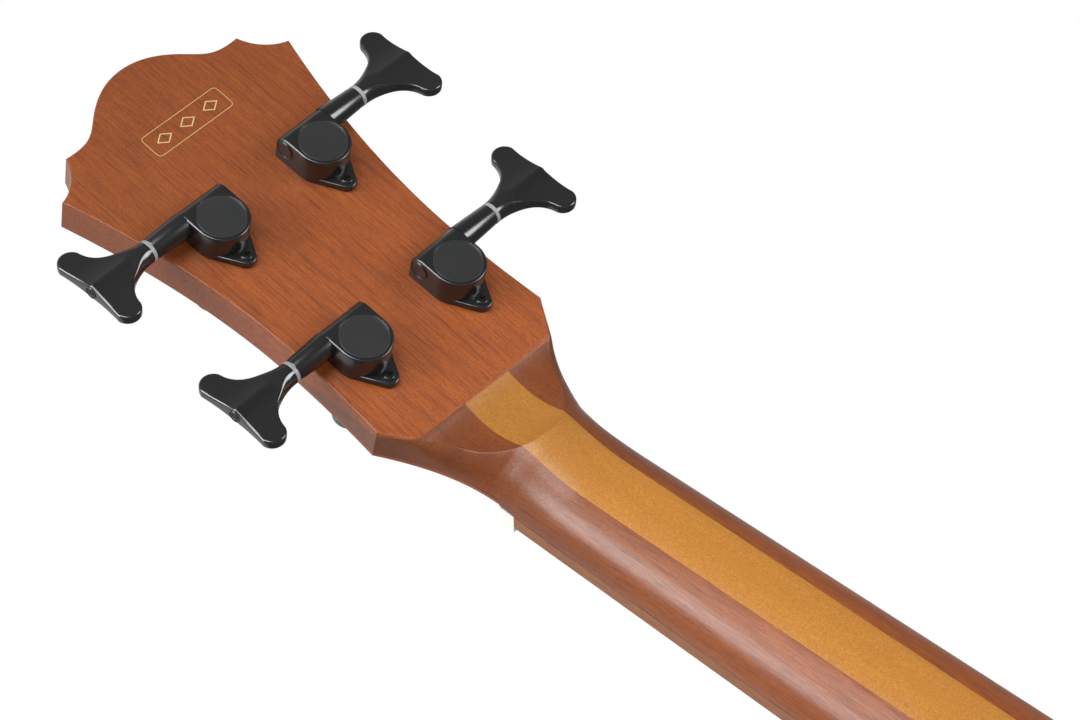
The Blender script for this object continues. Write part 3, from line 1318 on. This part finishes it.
corners = np.array([[-1, -1], [1, -1], [1, 1], [-1, 1]])  # of a square, from which every rectangle is scaled
frame_line = eased(PRINT_AT + corners * PRINT_HALF, 1.8, 6, closed=True)
lozenge = PRINT_AT + [[-3.4, 0], [0, -2.4], [3.4, 0], [0, 2.4]]
marks = [strip_line(frame_line, 0.2), *[strip_line(lozenge + [shift, 0], 0.4) for shift in (-10.4, 0, 10.4)]]
make("printed_outline", merged(*marks), gold_line, closed=False)
print("printed outline:", len(marks) - 1, "lozenges in a frame", round(2 * PRINT_HALF[0], 1), "mm long")

# %% [markdown]
# ## Strings
#
# A wound bass string runs from its ball end behind the bridge over the saddle and the nut, and winds two and a
# quarter turns round its post, each turn below the last. A curve with a bevel would draw it too. Here its middle line
# is worked out as points, because the nut's slots are cut along the same line. A string leaves the nut on a tangent
# to its coil, which gives the angle at which the coil starts.

# %% Strings
STRINGS = {"e": 1.3, "a": 1.05, "d": 0.82, "g": 0.57}  # radii
SCALE = 812.8
FRETTED, SADDLE_BACK, BRIDGE_BACK = -7.4, -SCALE - 1.7, -SCALE + 12 - 34
AT_BRIDGE, AT_NUT = 19, 11  # from string to string
BALL_R, POST_R, COIL_FROM = 2.9, 5, 2.4 + 0.6 + 5.2
TURNS, TURN_GAP = 2.25, 0.62
LEG_SHARES = (0, 0.004, 0.02, 0.1, 0.5, 0.9, 0.98, 0.996)  # close points where the string bends


def string_path(number, key):
    """From the ball end over the saddle and nut to a helix round the post."""
    radius = STRINGS[key]
    side, across, along = TUNERS[key]
    spread = number - 1.5
    ball = [spread * AT_BRIDGE, -0.3 - BALL_R - 0.6, BRIDGE_BACK - 0.3]
    saddle = [spread * AT_BRIDGE, FRETTED - 4.45 - radius, SADDLE_BACK]
    nut = [spread * AT_NUT, FRETTED - 0.35 - radius, 0]
    centre = np.array([side * across, along])
    reach = POST_R + 0.5 + radius
    seen = np.array([nut[0], nut[1] * SIN + nut[2] * COS]) - centre
    start = math.atan2(seen[1], seen[0]) - side * math.acos(reach / np.hypot(*seen))
    turn = np.linspace(0, TURNS * 2 * np.pi, 145)
    level = -(COIL_FROM + radius) - (2 * radius + TURN_GAP) * turn / (2 * np.pi)
    around = start - side * turn
    coil = head(np.stack([centre[0] + reach * np.cos(around), level, centre[1] + reach * np.sin(around)], -1))
    bends = np.array([saddle, nut, coil[0]])
    legs = [a + (b - a) * share for a, b in zip(bends, bends[1:]) for share in LEG_SHARES]
    return np.vstack([ball, *legs, coil])


ball = lathe([(-4.6, 0.02), (-4.6, 2.6), (-4.3, BALL_R), (-0.3, BALL_R), (0, 2.6), (0, 0.02)], "z", 24)
string_paths = {key: string_path(number, key) for number, key in enumerate(STRINGS)}
for key, path in string_paths.items():
    shape = merged(tube(path, STRINGS[key], 12), moved(ball, path[0]))
    make(f"{key}_string_looks", shape, wound_bronze, replaces=[f"{key}_string"], angle=50)
    print(f"{key} string:", round(float(np.linalg.norm(np.diff(path, axis=0), axis=1).sum())), "mm long")

# %% [markdown]
# ## Nut
#
# Nut and saddle are bars of bone across the neck with a crowned top, so one function sweeps the section of both. In
# the nut, each string's slot is cut by a tube a little wider than the string, with a box above it that opens it.

# %% Nut
CROWN_DROP = 0.9  # how far the fretboard, the nut and the saddle fall from their middle to their ends
SLOT_ROOM = 0.28


def crowned(half, foot, crown, profile, count=25):
    """A bar along x: its profile of (z, share of the height) is swept from end to end under the crown."""
    z, share = np.array(profile, float).T
    rows = []
    for x in np.linspace(-half, half, count):
        face = crown + CROWN_DROP * (x / half) ** 2
        rows.append(np.stack([np.full(len(z), x), foot + (face - foot) * share, z], -1))
    return with_ends(grid(rows, closed=True), len(z))


nut_cuts = []
for key, path in string_paths.items():
    at_nut, after = path[1 + len(LEG_SHARES) :][:2]
    half_slot = STRINGS[key] + SLOT_ROOM
    way = (after - at_nut) / np.linalg.norm(after - at_nut)
    nut_cuts.append(tube([at_nut + [0, 0, -3], at_nut, at_nut + 9 * way], half_slot, 16))
    nut_cuts.append(box_shape((at_nut[0] - half_slot, at_nut[0] + half_slot), (-14, at_nut[1] - 0.1), (-1, 7)))
nut_profile = [(0, 0), (0, 0.93), (0.25, 0.98), (0.7, 1), (2.5, 0.985), (4.4, 0.93), (5.5, 0.84), (6, 0.72), (6, 0)]
nut = carved(crowned(NUT_WIDTH / 2, -0.3, -9.3, nut_profile), *nut_cuts)
make("nut_looks", nut, bone, replaces=["nut"], angle=35)
print("nut:", len(nut_cuts) // 2, "slots")

# %% [markdown]
# ## Fretboard
#
# The fretboard is a crowned board that widens toward the body, with frets of nickel silver pressed into it. Each fret
# divides the rest of the string by the same ratio. The frets' ends are filed down, and pearl dots mark the usual
# places on the face and on the bass side.

# %% Fretboard
BOARD_FRONT, ACROSS = -6.3, 17


def fret_at(n):
    """How far a fret stands from the nut: the scale times 1 - 2^(-n / 12)."""
    return SCALE * (1 - 2 ** (-n / 12))


def board_face(share):
    """The y of the crowned face at a share of the board's half width."""
    return BOARD_FRONT + CROWN_DROP * share**2


BOARD_END = -(fret_at(22) + 7)
across = np.linspace(-1, 1, ACROSS)
board_rows = []
for z in np.linspace(-0.3, BOARD_END, 40):
    half = neck_half(z)
    face = np.stack([across * half, board_face(across), np.full(ACROSS, z)], -1)
    board_rows.append([*face, [half, -0.3, z], [-half, -0.3, z]])
board = with_ends(grid(board_rows, closed=True), ACROSS + 2)
make("fretboard_looks", board, brown_board, replaces=["fretboard"], angle=30)
print("fretboard:", round(-BOARD_END, 1), "mm long")

# %% Frets and dots
FRET_HALF, FRET_HIGH, FRET_END = 1.1, 1.15, 1.2
turn = np.linspace(0, np.pi, 9)
frets = []
for n in range(1, 23):
    z = -fret_at(n)
    half = neck_half(z) - 0.2
    rows = []
    for share in np.linspace(-1, 1, 15):
        lift = FRET_HIGH * (1 - 0.75 * max(abs(share) * half - (half - FRET_END), 0) / FRET_END)
        y = board_face(share) + 0.05 - lift * np.sin(turn)
        rows.append(np.stack([np.full(9, share * half), y, z + FRET_HALF * np.cos(turn)], -1))
    frets.append(with_ends(grid(rows), 9))
make("frets", merged(*frets), nickel, angle=50)


def dot(face, radius, axis, sides):
    """A round inlay whose front stands 0.03 mm out of the face."""
    return lathe([(face - 0.03, 0.02), (face - 0.03, radius - 0.1), (face + 0.3, radius)], axis, sides)


dots = []
for n in (3, 5, 7, 9, 12, 15, 17, 19, 21):
    z = -(fret_at(n) + fret_at(n - 1)) / 2
    for x in (-9, 9) if n == 12 else (0,):
        dots.append(moved(dot(board_face(x / neck_half(z)), 3.0, "y", 32), (x, 0, z)))
    dots.append(moved(dot(-neck_half(z), 1.0, "x", 20), (0, -3.1, z)))
make("inlays", merged(*dots), pearl)
print("frets:", len(frets), "dots:", len(dots))

# %% [markdown]
# ## Body
#
# The body is a box of thin wood: a spruce top, mahogany back and side. Its outline is the CAD's, with the cutaway on
# the treble side, drawn as two lines of cubic legs that share their lower part. The back is arched across by 5 mm
# and comes nearer to the top toward the neck.

# %% Body outline and the back's face
TOP_Z, BODY_LENGTH, BODY_HALF = -fret_at(16), 500, 200
BACK_AT_NECK, BACK_ARCH, BACK_TAPER = 80, 5, math.atan(15 / BODY_LENGTH)
CUTAWAY = [((76, TOP_Z - 92), (0.08, 0.6, 0.35, 1)), ((118, TOP_Z - 56), (0.5, 0, 0.45, 1))]
BODY_LEGS = [
    ((145, TOP_Z - 104), (0.6, 0, 1, 0.4)),
    ((121, TOP_Z - 196), (0, 0.42, 1, 0.66)),
    ((BODY_HALF, TOP_Z - 345), (0, 0.27, 1, 0.42)),
    ((0, TOP_Z - BODY_LENGTH), (0, 0.62, 0.42, 1)),
]
treble = cubic((31, TOP_Z), [*CUTAWAY, *BODY_LEGS], 40)
bass = cubic((0, TOP_Z), BODY_LEGS, 40) * [-1, 1]
line = resampled(np.vstack([treble, bass[::-1][1:-1]]), 420, closed=True)


def back_at(x, z):
    """The back's face: y is 80 + h cos a - w sin a, with h = 5 - 5 (x / 200)^2 and w along the tapered back."""
    h = BACK_ARCH - BACK_ARCH * (x / BODY_HALF) ** 2
    w = (z - TOP_Z - h * math.sin(BACK_TAPER)) / math.cos(BACK_TAPER)
    return BACK_AT_NECK + h * math.cos(BACK_TAPER) - w * math.sin(BACK_TAPER)


print("depth at the neck and the tail:", [round(back_at(0, z)) for z in (TOP_Z, TOP_Z - BODY_LENGTH)], "mm")

# %% Soundboard, back and side
PLATE_T, RIM_FROM, SOFT_EDGE = 3.0, 3.1, 1.2
EDGE_STEPS = (0.15, 0.5, SOFT_EDGE)
SOUND_HOLE_R, SOUND_HOLE = 50, (0, BOARD_END - 55)
soundboard = field(
    line,
    EDGE_STEPS,
    24,
    lambda p, d: np.full(len(p), PLATE_T),
    lambda p, d: rounded(d, SOFT_EDGE),
    holes=[circle(SOUND_HOLE_R, 96, SOUND_HOLE)],
    loops=[inset(line, 2.4)],
)
make("soundboard_looks", soundboard, spruce, replaces=["soundboard"], angle=30)
back = field(
    line, EDGE_STEPS, 12, lambda p, d: back_at(*p.T) - rounded(d, SOFT_EDGE), lambda p, d: back_at(*p.T) - PLATE_T
)
make("back_looks", back, mahogany_body, replaces=["back"], angle=30)
side_rows = []
for distance, rise in ((2.5, 1), (2.5, 0), (0.02, 0), (0.02, 0.5), (0.02, 1), (2.5, 1)):
    ring = inset(line, distance)
    side_rows.append(on_level(ring, RIM_FROM + (back_at(*ring.T) - 2 * RIM_FROM) * rise))
make("side_looks", grid(side_rows, closed=True), mahogany_body, replaces=["rim"], weld=0.01)
print("body outline:", len(line), "points,", len(soundboard[1]), "faces in the top,", len(back[1]), "in the back")

# %% [markdown]
# ## Binding and rosette
#
# Cream binding is let into both edges of the body, dark purfling lines run beside it on the top, and rings of both
# colours lie round the sound hole. On a real guitar they are flush. A mask in the wood's material could draw them,
# but thin bands of their own, a few hundredths of a millimetre proud, follow the rounded edge and stay crisp.

# %% Binding, purfling and rosette
LIFT = 0.04
ROUND_EDGE = [(0.45, 0.2), (0.1, 0.6), (-0.04, 1.2), (-0.04, 2.95)]  # from the outline inwards, and under the face
front_rows = [on_level(inset(line, distance), y) for distance, y in [(2.3, -LIFT), (1.2, -LIFT), *ROUND_EDGE]]
make("binding_front", faced(grid(front_rows, closed=True), (0, -1, 0)), ivory, closed=False)
back_rows = []
for distance, drop in [(2.3, -0.05), (1.2, -0.05), *ROUND_EDGE]:
    ring = inset(line, distance)
    back_rows.append(on_level(ring, back_at(*ring.T) - drop))
make("binding_back", faced(grid(back_rows, closed=True), (0, 1, 0)), ivory, closed=False)


def purfling(start, end):
    """A flat band on the soundboard between two distances from the body's edge."""
    levels = [(start, -0.3 * LIFT), (start, -LIFT), (end, -LIFT), (end, -0.3 * LIFT)]
    return grid([on_level(inset(line, distance), y) for distance, y in levels], closed=True)


def rosette(*rings):
    """Flat rings round the sound hole, given by their inner and outer radius."""
    profiles = [[(0.1, r0), (-LIFT, r0), (-LIFT, r1), (0.1, r1)] for r0, r1 in rings]
    return moved(merged(*[lathe(profile, "y", 120) for profile in profiles]), (0, 0, SOUND_HOLE[1]))


make("purfling", merged(purfling(2.3, 2.9), purfling(3.6, 4.0)), black_line)
make("rosette_dark", rosette((53, 53.7), (55, 60), (61.3, 62)), black_line)
make("rosette_light", rosette((53.7, 55), (60, 61.3)), ivory)
print("binding:", round(float(np.linalg.norm(line - np.roll(line, 1, 0), axis=1).sum())), "mm round the body")

# %% [markdown]
# ## Bridge
#
# The bridge is one block of rosewood, high in the middle and thinned to wings at both ends, as a luthier files it. So
# it is a height field that falls smoothly past the outer strings. The saddle stands in a slot that is cut with a
# boolean, as on the real bridge.

# %% Bridge
BRIDGE_HALF, BRIDGE_WIDE, MIDDLE_HIGH, WING_DROP = 75, 34, 9, 5.4
WING_FROM, WING_SLOPE = 46, 22


def bridge_top(points, depth):
    """Height of the bridge: 9 in the middle, falling smoothly to 3.6 at the wings' ends, with rounded edges."""
    share = np.clip((np.abs(points[:, 0]) - WING_FROM) / WING_SLOPE, 0, 1)
    return -0.3 - (MIDDLE_HIGH - WING_DROP * share**2 * (3 - 2 * share) - rounded(depth, 1.5))


middle = [0, BRIDGE_BACK + BRIDGE_WIDE / 2]
plan = resampled(eased(middle + corners * [BRIDGE_HALF, BRIDGE_WIDE / 2], 4, 8, closed=True), 240, closed=True)
bridge = field(plan, (0.1, 0.35, 0.8, 1.5), 3, bridge_top, lambda p, d: -0.3)
saddle_slot = box_shape((-37.3, 37.3), (-20, -3.8), (-SCALE - 1.7, -SCALE + 1.7))
make("bridge_looks", carved(bridge, saddle_slot), rosewood, replaces=["bridge"], weld=0.001, angle=30)
saddle_profile = [(-1.4, 0), (-1.4, 0.9), (-1.0, 0.98), (0, 1), (1.0, 0.98), (1.4, 0.9), (1.4, 0)]
saddle = moved(crowned(37, -4.1, -11.55, saddle_profile), (0, 0, -SCALE))
make("saddle_looks", saddle, bone, replaces=["saddle"])
print("bridge:", len(bridge[1]), "faces, saddle:", len(saddle[1]))

# %% [markdown]
# ## Strap button and end pin
#
# Both are turned on a lathe in reality, and so here. The end pin has the strap button's spool with a bore through it,
# because it is the jack socket too. The heel's button is held by a screw.

# %% Strap button and end pin
spool = [(0.3, 6), (0.8, 5.9), (3.3, 4.4), (4.4, 4.2), (8.2, 4.2), (8.9, 4.5), (9.2, 5.2), (9.4, 6.6)]
spool += [(9.8, 7.05), (10.4, 7.2), (11.2, 7.05), (11.8, 6.5), (12, 5.7)]
SCREW_SEAT, HEEL_AT = 11.2, TOP_Z + 11.3
strap_button = lathe([(0.3, 0.02), *spool, (12, 2.4), (SCREW_SEAT, 2.3), (SCREW_SEAT, 0.02)], "y", 64)
on_heel = moved(strap_button, (0, HEEL_FACE, HEEL_AT))
make("strap_button_looks", on_heel, black_metal, replaces=["heel_strap_button"])
heel_screw = moved(cross_screw(2.1, 0.3, 0.6), (0, HEEL_FACE + SCREW_SEAT + 0.1, HEEL_AT))
make("strap_button_screw", heel_screw, steel)
pin_profile = [(-along, radius) for along, radius in spool[1:]]
pin_profile += [(-12, 3.9), (-11.7, 3.4), (30, 3.4), (40, 3.4), (42.5, 3.4), (42.5, 5.6), (0, 5.6)]
end_pin = moved(lathe(pin_profile, "z", 64), (0, 49, TOP_Z - BODY_LENGTH))
make("end_pin_looks", end_pin, black_metal, replaces=["end_pin_jack"])
print("end pin:", len(end_pin[1]), "faces")

# %% [markdown]
# ## Preamp
#
# The preamp is a plastic panel let into the side, with three ribbed knobs. It stands on a slant, because the side
# curves there. Where it stands is measured on the CAD nodes, so that panel and knobs can't drift off them. The ribs
# are in the knobs' rings: the radius goes in and out by 0.12 mm round them.

# %% Preamp
SLANT = math.radians(158.52)
OUT = np.array([math.cos(SLANT), 0, -math.sin(SLANT)])
ALONG = np.array([math.sin(SLANT), 0, math.cos(SLANT)])
RIB, RIB_POINTS = 0.12, 144
CAP_RINGS = [(0.3, 5.9, 1), (0.5, 6.0, 1), (6.4, 5.55, 1), (6.9, 5.4, 0), (7.35, 5.0, 0), (7.5, 4.5, 0)]


def extent(name, direction):
    """Where a CAD node starts and ends along a direction, in millimetres."""
    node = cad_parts[name]
    flat = np.zeros(len(node.data.vertices) * 3)
    node.data.vertices.foreach_get("co", flat)
    world = np.array(node.matrix_world)
    reach = (flat.reshape(-1, 3) @ world[:3, :3].T + world[:3, 3]) / MM @ direction
    return reach.min(), reach.max()


preamp_at = np.array([0, 41.5, 0]) + ALONG * (sum(extent("preamp", ALONG)) / 2) + OUT * extent("preamp", OUT)[1]


def at_preamp(shape, along=0.0):
    """A shape drawn with x out of the side, y as it is and z along the side, placed at the panel's middle."""
    x, y, z = shape[0].T
    return preamp_at + np.outer(x, OUT) + np.outer(y, [0, 1, 0]) + np.outer(z + along, ALONG), shape[1]


def ribbed_cap():
    """Rings of a knob's cap, with two points in and two out all the way round, and a flat face on the last."""
    around = np.linspace(0, 2 * np.pi, RIB_POINTS, endpoint=False)
    ribs = RIB * (np.arange(RIB_POINTS) % 4 < 2)
    rows = []
    for height, radius, ribbed in CAP_RINGS:
        r = radius - ribs * ribbed
        rows.append(np.stack([np.full(RIB_POINTS, height), r * np.cos(around), r * np.sin(around)], -1))
    points, faces = grid(rows, closed=True)
    return points, faces + [list(range(len(points) - RIB_POINTS, len(points)))]


panel_line = eased(corners * [33, 21], 5, 8, closed=True)
points, faces = slab(panel_line, [(-1.8, 0), (-0.5, 0), (-0.15, 0.15), (0, 0.5)], caps=(False, True))
make("preamp_panel", at_preamp((points[:, [1, 2, 0]], faces)), black_plastic, ROOT, ["preamp"])
knob_mark = box_shape((7.45, 7.6), (-0.4, 0.4), (1.2, 4.6))
for name in ("volume_knob", "bass_tone_knob", "treble_tone_knob"):
    along = sum(extent(name, ALONG)) / 2 - preamp_at @ ALONG
    body = name + "_body"
    make(name + "_looks", at_preamp(ribbed_cap(), along), black_plastic, body, [name], angle=30)
    make(name + "_mark", at_preamp(knob_mark, along), ivory, body)
    print(name, "stands", round(float(along)), "mm along the panel")

# %% [markdown]
# ## Floor
#
# The guitar stands on a pale floor that ends far away, so that it meets the white behind it without a line. Rays
# mirrored by the tuners see it darker, as a real studio's floor beyond the lights is, which keeps the black metal
# black. A light path node does that inside the material.

# %% Floor
FLOOR_Z, FLOOR_HALF = -1.0035, 30
floor = bpy.data.meshes.new("floor")
floor.from_pydata([(FLOOR_HALF * x, FLOOR_HALF * y, FLOOR_Z) for x, y in corners], [], [(0, 1, 2, 3)])
floor_thing = bpy.data.objects.new("floor", floor)
bpy.context.scene.collection.objects.link(floor_thing)
floor_finish, tree, shader = material("floor")
spots = noise(tree, add(tree, "ShaderNodeTexCoord").outputs["Object"], 3.0)
pale = mix(tree, spots, (0.86, 0.86, 0.86), (0.88, 0.88, 0.88))
mirrored_ray = add(tree, "ShaderNodeLightPath").outputs["Is Glossy Ray"]
tree.links.new(mix(tree, mirrored_ray, pale, (0.15, 0.15, 0.15)), shader.inputs["Base Color"])
setup(shader, Roughness=0.8)
floor.materials.append(floor_finish)
print("floor at", FLOOR_Z, "m")

# %% [markdown]
# ## Camera and surroundings
#
# The camera stands where the photograph was taken from, which was solved from marks on the headstock and the neck.
# Camera rays see plain white behind the guitar. The light that the world sends is dimmer, and brighter on one side
# than on the other, because even light from all round would make the tuners look flat.

# %% Camera and world
RIGHT = Vector((-0.666263, -0.011921, -0.745622))
UP = Vector((-0.560495, 0.667519, 0.490167))
BACK = Vector((0.491874, 0.744497, -0.451425))
EYE = Vector((0.452974, 0.736738, -0.408595))
camera = bpy.data.cameras.new("camera")
camera.lens, camera.sensor_width = 99.56, 36
camera_thing = bpy.data.objects.new("camera", camera)
bpy.context.scene.collection.objects.link(camera_thing)
camera_thing.matrix_world = Matrix.Translation(EYE) @ Matrix((RIGHT, UP, BACK)).transposed().to_4x4()
bpy.context.scene.camera = camera_thing

world = bpy.data.worlds.new("studio")
bpy.context.scene.world = world
world.use_nodes = True
tree = world.node_tree
tree.nodes.clear()
out = add(tree, "ShaderNodeOutputWorld")
path = add(tree, "ShaderNodeLightPath")
seen = add(tree, "ShaderNodeBackground", {"Color": (1, 1, 1, 1), "Strength": 1.0})
way = add(tree, "ShaderNodeTexCoord").outputs["Generated"]
bright_way = tuple(-(BACK + RIGHT).normalized())
toward = add(tree, "ShaderNodeVectorMath", {0: way, 1: bright_way}, operation="DOT_PRODUCT").outputs["Value"]
glow = faded(tree, toward, (0.1, 0.8, 0.18, 0.75), interpolation_type="SMOOTHSTEP")
lit = add(tree, "ShaderNodeBackground", {"Color": (0.97, 0.98, 1, 1), "Strength": glow})
choice = add(tree, "ShaderNodeMixShader", {0: path.outputs["Is Camera Ray"], 1: lit.outputs[0], 2: seen.outputs[0]})
tree.links.new(choice.outputs[0], out.inputs["Surface"])
print("camera lens:", round(camera.lens, 2), "mm")

# %% [markdown]
# ## Lights
#
# Three square softboxes are placed from the camera's point of view. The key light above and the large one on the left
# draw the soft highlights along the neck and the housings. The weak one on the right opens the shadows; it is low, so
# its beam is narrowed to keep it off the floor.

# %% Lights
LOOKED_AT = EYE - BACK * 0.98


def softbox(name, right, up, back, power, size, spread=180):
    """A square light at a place given from the looked-at point along the camera's right, up and back."""
    data = bpy.data.lights.new(name, "AREA")
    data.energy, data.size, data.spread = power, size, math.radians(spread)
    thing = bpy.data.objects.new(name, data)
    bpy.context.scene.collection.objects.link(thing)
    thing.location = LOOKED_AT + RIGHT * right + UP * up + BACK * back
    thing.rotation_mode = "QUATERNION"
    thing.rotation_quaternion = (LOOKED_AT - thing.location).to_track_quat("-Z", "Y")
    thing.visible_camera = False


softbox("key", -0.5, 1.0, 1.6, 20, 0.9)
softbox("left", -1.6, 0.34, 1.14, 38, 1.1)
softbox("right", 1.15, 0.5, 0.51, 3.0, 0.7, spread=90)
print("lights:", len(bpy.data.lights))

# %% [markdown]
# ## Finishes of the CAD's own nodes
#
# The nodes that stay as the CAD made them are inside: worms, braces, linings, blocks. They get the finish of what
# they are made of, picked by a word in their name.

# %% Inner finishes and the last step
bpy.context.scene.view_settings.view_transform = "Standard"
INNER = {
    "worm": steel,
    "truss_rod": steel,
    "braces": spruce_inner,
    "lining": mahogany_inner,
    "block": mahogany_inner,
    "plate": maple_inner,
}
for node_name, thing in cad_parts.items():
    finish = next((f for key, f in INNER.items() if key in node_name), black_plastic)
    thing.data.materials.clear()
    thing.data.materials.append(finish)
